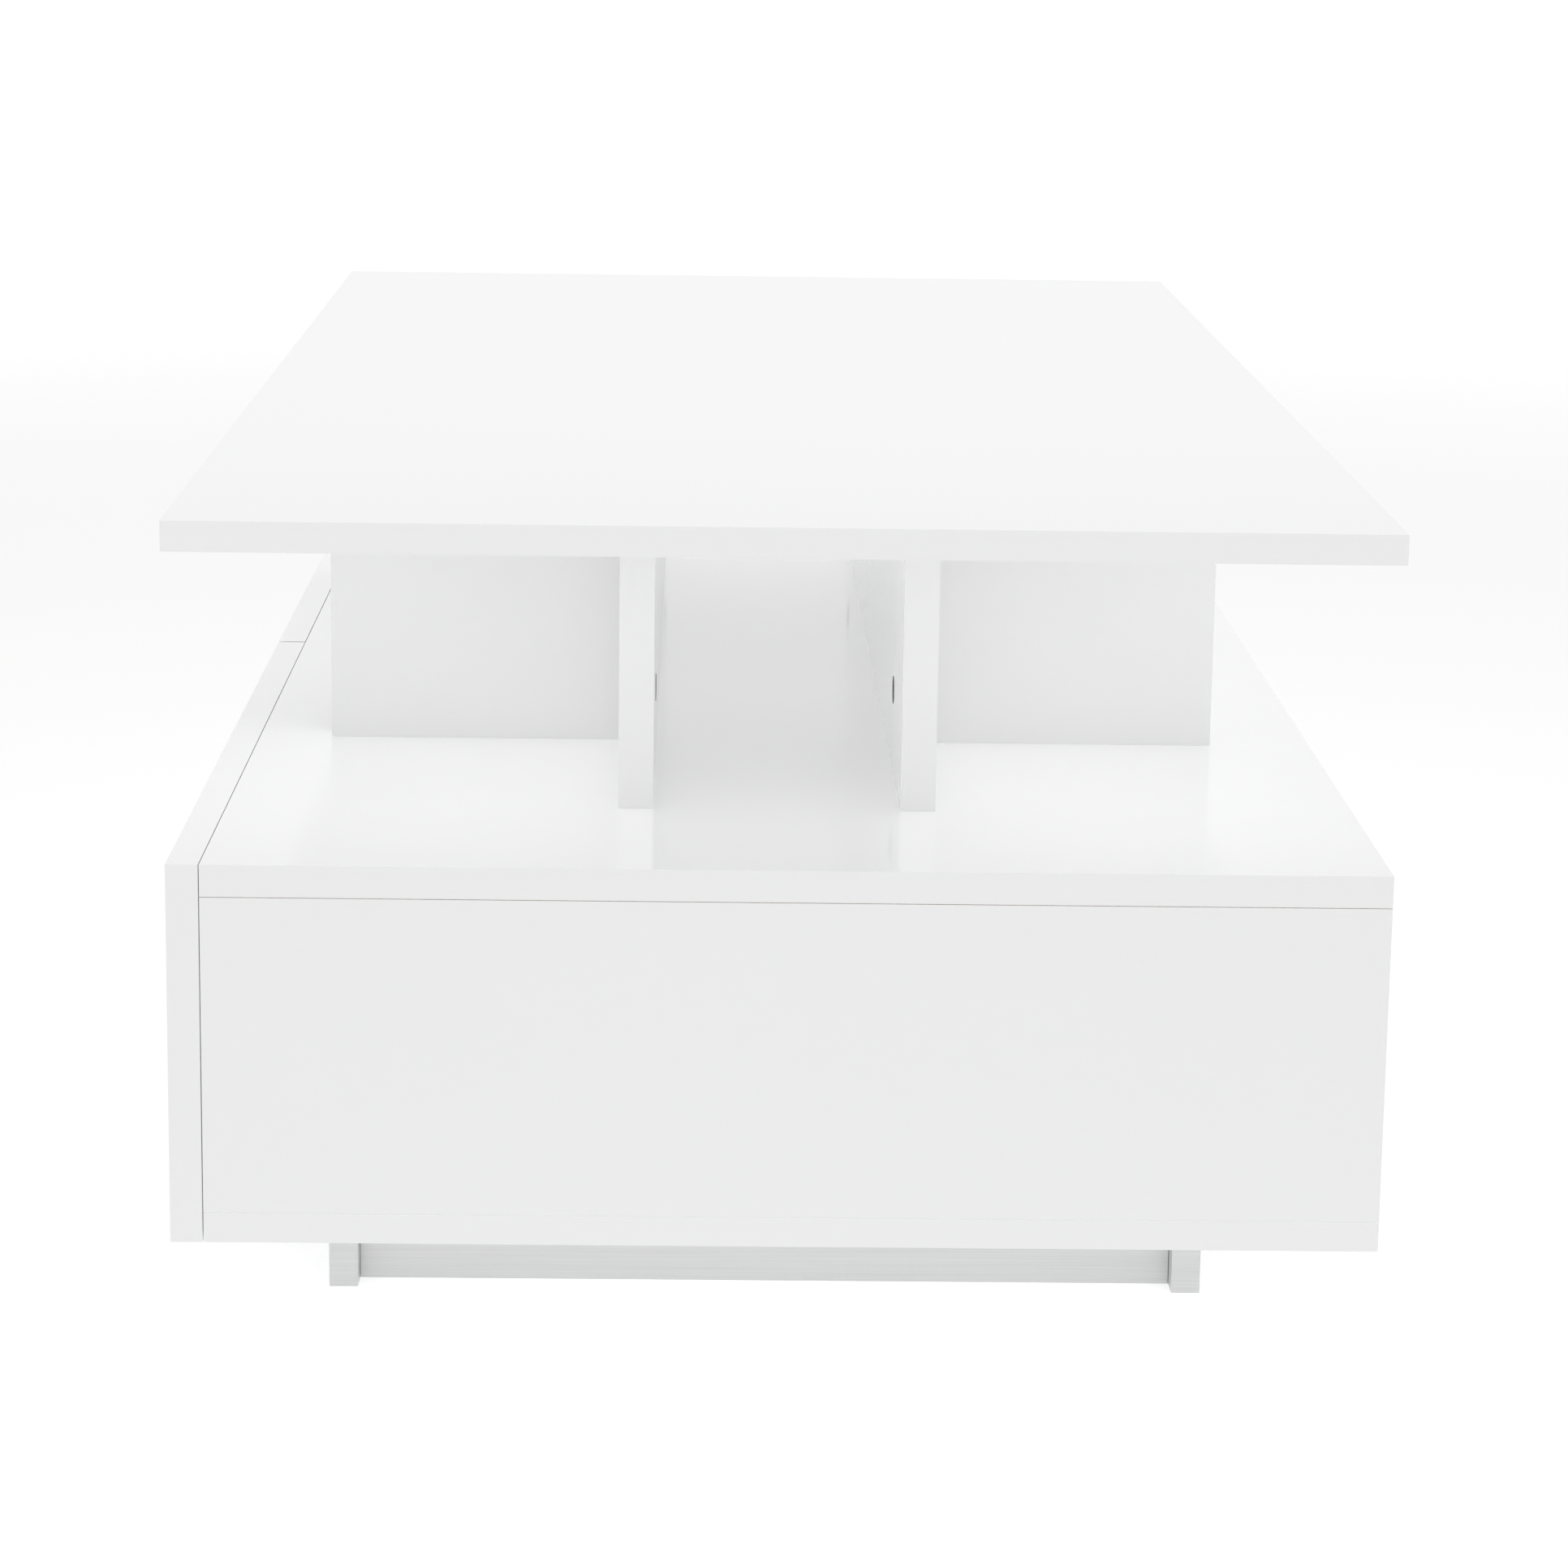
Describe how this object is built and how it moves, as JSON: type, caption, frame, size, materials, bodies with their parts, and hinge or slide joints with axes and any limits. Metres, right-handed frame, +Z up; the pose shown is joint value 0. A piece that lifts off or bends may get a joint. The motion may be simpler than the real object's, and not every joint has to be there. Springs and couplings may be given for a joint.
{
  "type": "lift top coffee table",
  "caption": "Long white gloss coffee table with a raised lift top on crossed panels, push-to-open drawers along one side and a recessed silver plinth.",
  "frame": {"origin": "on the floor, under the middle of the table", "axes": "+Z up, +Y along the length, the drawers open towards -X and the end in the foreground of the picture faces -Y"},
  "size_m": [0.6, 1.2, 0.474],
  "materials": {
    "white_lacquer": "high-gloss white lacquer on board",
    "white_melamine": "matt white melamine board",
    "silver_foil": "satin silver foil on board",
    "plated_steel": "zinc plated",
    "black_steel": "black powder coat",
    "spring_steel": "oiled spring steel",
    "grey_plastic": "moulded",
    "white_plastic": "moulded"
  },
  "bodies": {
    "root": {"back_panel": "white_lacquer", "bottom_board": "white_lacquer", "centre_divider": "white_melamine", "deck_board": "white_lacquer", "end_panel_front": "white_lacquer", "end_panel_rear": "white_lacquer", "lift_base_plate_front": "black_steel", "lift_base_plate_rear": "black_steel", "lift_pin_lower_front": "plated_steel", "lift_pin_lower_rear": "plated_steel", "lift_pin_upper_front": "plated_steel", "lift_pin_upper_rear": "plated_steel", "lift_spring_front": "spring_steel", "lift_spring_rear": "spring_steel", "plinth_cross_front": "silver_foil", "plinth_cross_rear": "silver_foil", "plinth_side_left": "silver_foil", "plinth_side_right": "silver_foil", "push_latch_a_housing": "grey_plastic", "push_latch_b_housing": "grey_plastic", "runner_a_far_outer": "plated_steel", "runner_a_near_outer": "plated_steel", "runner_b_far_outer": "plated_steel", "runner_b_near_outer": "plated_steel", "upright_left": "white_lacquer", "upright_right": "white_lacquer", "wing_front_left": "white_lacquer", "wing_front_right": "white_lacquer", "wing_rear_left": "white_lacquer", "wing_rear_right": "white_lacquer"},
    "drawer_a": {"drawer_a_back": "white_melamine", "drawer_a_bottom": "white_melamine", "drawer_a_front": "white_lacquer", "drawer_a_side_far": "white_melamine", "drawer_a_side_near": "white_melamine", "runner_a_far_inner": "plated_steel", "runner_a_near_inner": "plated_steel"},
    "drawer_b": {"drawer_b_back": "white_melamine", "drawer_b_bottom": "white_melamine", "drawer_b_front": "white_lacquer", "drawer_b_side_far": "white_melamine", "drawer_b_side_near": "white_melamine", "runner_b_far_inner": "plated_steel", "runner_b_near_inner": "plated_steel"},
    "runner_a_middle": {"runner_a_far_middle": "plated_steel", "runner_a_near_middle": "plated_steel"},
    "runner_b_middle": {"runner_b_far_middle": "plated_steel", "runner_b_near_middle": "plated_steel"},
    "push_latch_a_plunger": {"push_latch_a_plunger": "white_plastic"},
    "push_latch_b_plunger": {"push_latch_b_plunger": "white_plastic"},
    "lift_arms_upper": {"lift_arm_upper_front": "black_steel", "lift_arm_upper_rear": "black_steel", "lift_cross_bar": "black_steel"},
    "lift_arms_lower": {"lift_arm_lower_front": "black_steel", "lift_arm_lower_rear": "black_steel"},
    "top": {"lift_bracket_front": "black_steel", "lift_bracket_rear": "black_steel", "top_slab": "white_lacquer"}
  },
  "joints": [
    {"name": "drawer_a_slide", "type": "slide", "parent": "root", "child": "drawer_a", "axis": [-1, 0, 0], "range_m": [0, 0.4]},
    {"name": "runner_a_slide", "type": "slide", "parent": "root", "child": "runner_a_middle", "axis": [-1, 0, 0], "range_m": [0, 0.2]},
    {"name": "push_latch_a_press", "type": "slide", "parent": "root", "child": "push_latch_a_plunger", "axis": [1, 0, 0], "range_m": [0, 0.003], "stiffness_N_per_m": 500},
    {"name": "drawer_b_slide", "type": "slide", "parent": "root", "child": "drawer_b", "axis": [-1, 0, 0], "range_m": [0, 0.4]},
    {"name": "runner_b_slide", "type": "slide", "parent": "root", "child": "runner_b_middle", "axis": [-1, 0, 0], "range_m": [0, 0.2]},
    {"name": "push_latch_b_press", "type": "slide", "parent": "root", "child": "push_latch_b_plunger", "axis": [1, 0, 0], "range_m": [0, 0.003], "stiffness_N_per_m": 500},
    {"name": "lift", "type": "hinge", "parent": "root", "child": "lift_arms_upper", "pos_m": [-0.23499, 0, 0.432], "axis": [0, -1, 0], "range_deg": [0, 110]},
    {"name": "lift_lower_arms", "type": "hinge", "parent": "root", "child": "lift_arms_lower", "pos_m": [-0.2135, 0, 0.39826], "axis": [0, -1, 0], "range_deg": [0, 110]},
    {"name": "top_level", "type": "hinge", "parent": "lift_arms_upper", "child": "top", "pos_m": [-0.12805, 0, 0.38213], "axis": [0, -1, 0], "range_deg": [-110, 0]}
  ],
  "couplings": [
    {"joint": "runner_a_slide", "follows": "drawer_a_slide", "ratio": 0.5},
    {"joint": "runner_b_slide", "follows": "drawer_b_slide", "ratio": 0.5},
    {"joint": "lift_lower_arms", "follows": "lift", "ratio": 1},
    {"joint": "top_level", "follows": "lift", "ratio": -1}
  ]
}
